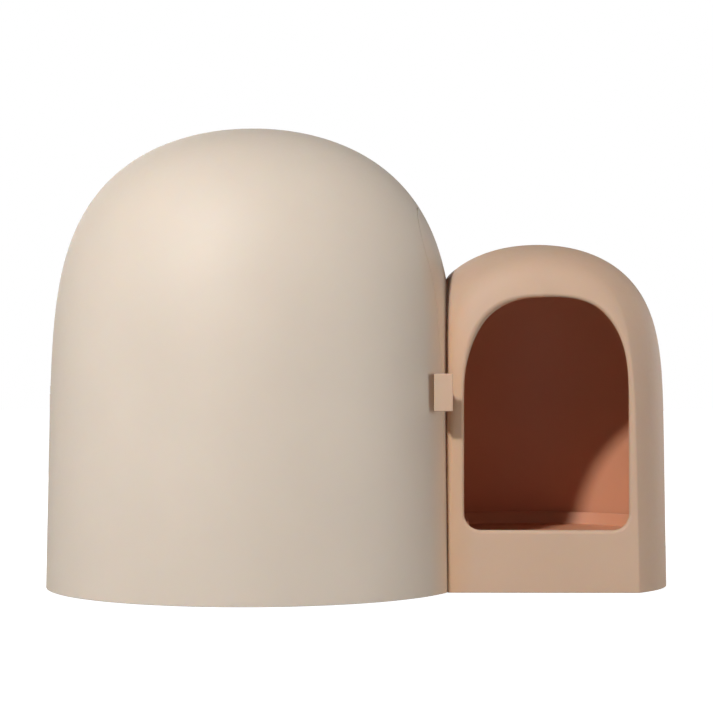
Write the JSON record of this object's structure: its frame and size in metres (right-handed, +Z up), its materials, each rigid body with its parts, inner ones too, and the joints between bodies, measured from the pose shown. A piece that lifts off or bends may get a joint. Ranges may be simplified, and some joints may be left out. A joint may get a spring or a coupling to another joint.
{
  "type": "cat litter box with hood",
  "caption": "Domed cat litter box with a side-hung front door, an inner tray and a smaller arched entry tunnel beside it.",
  "frame": {"origin": "middle of the footprint, on the floor that the feet stand on", "axes": "+X from the dome towards the tunnel, +Y to the back, +Z up; the door and the tunnel mouth face -Y"},
  "size_m": [0.696, 0.46, 0.509],
  "materials": {
    "beige_shell": "fine satin moulded plastic, warm beige",
    "tan_shell": "fine satin moulded plastic, tan",
    "tray": "satin moulded plastic, warm grey",
    "steel": "plain zinc-plated steel",
    "rubber": "soft dark rubber"
  },
  "bodies": {
    "cabinet": {"base_plate": "beige_shell", "rear_shell": "beige_shell", "hinge_bracket_lower": "beige_shell", "hinge_bracket_upper": "beige_shell", "passage_collar": "tan_shell", "tunnel_shell": "tan_shell", "tunnel_base": "tan_shell", "litter_tray": "tray", "jamb_magnet": "steel", "base_screw_1": "steel", "base_screw_2": "steel", "base_screw_3": "steel", "tunnel_screw_1": "steel", "tunnel_screw_2": "steel", "tunnel_nut_1": "steel", "tunnel_nut_2": "steel", "hinge_pin_lower": "steel", "hinge_pin_upper": "steel", "bracket_rivet_lower_1": "steel", "bracket_rivet_lower_2": "steel", "bracket_rivet_upper_1": "steel", "bracket_rivet_upper_2": "steel", "dome_foot_1": "rubber", "dome_foot_2": "rubber", "dome_foot_3": "rubber", "dome_foot_4": "rubber", "tunnel_foot_1": "rubber", "tunnel_foot_2": "rubber", "tunnel_foot_3": "rubber"},
    "door": {"front_door": "beige_shell", "door_tab": "tan_shell", "door_strike": "steel", "tab_screw_1": "steel", "tab_screw_2": "steel", "door_hinge_leaf_lower": "beige_shell", "door_hinge_leaf_upper": "beige_shell", "leaf_rivet_lower_1": "steel", "leaf_rivet_lower_2": "steel", "leaf_rivet_upper_1": "steel", "leaf_rivet_upper_2": "steel"},
    "floor_panel": {"tunnel_floor": "tan_shell"}
  },
  "joints": [
    {"name": "door_swing", "type": "hinge", "parent": "cabinet", "child": "door", "pos_m": [-0.34385, 0.039, 0.125], "axis": [0, 0, -1], "range_deg": [0, 110]},
    {"name": "floor_panel_lift", "type": "slide", "parent": "cabinet", "child": "floor_panel", "axis": [0, 0, 1], "range_m": [0, 0.1]}
  ]
}
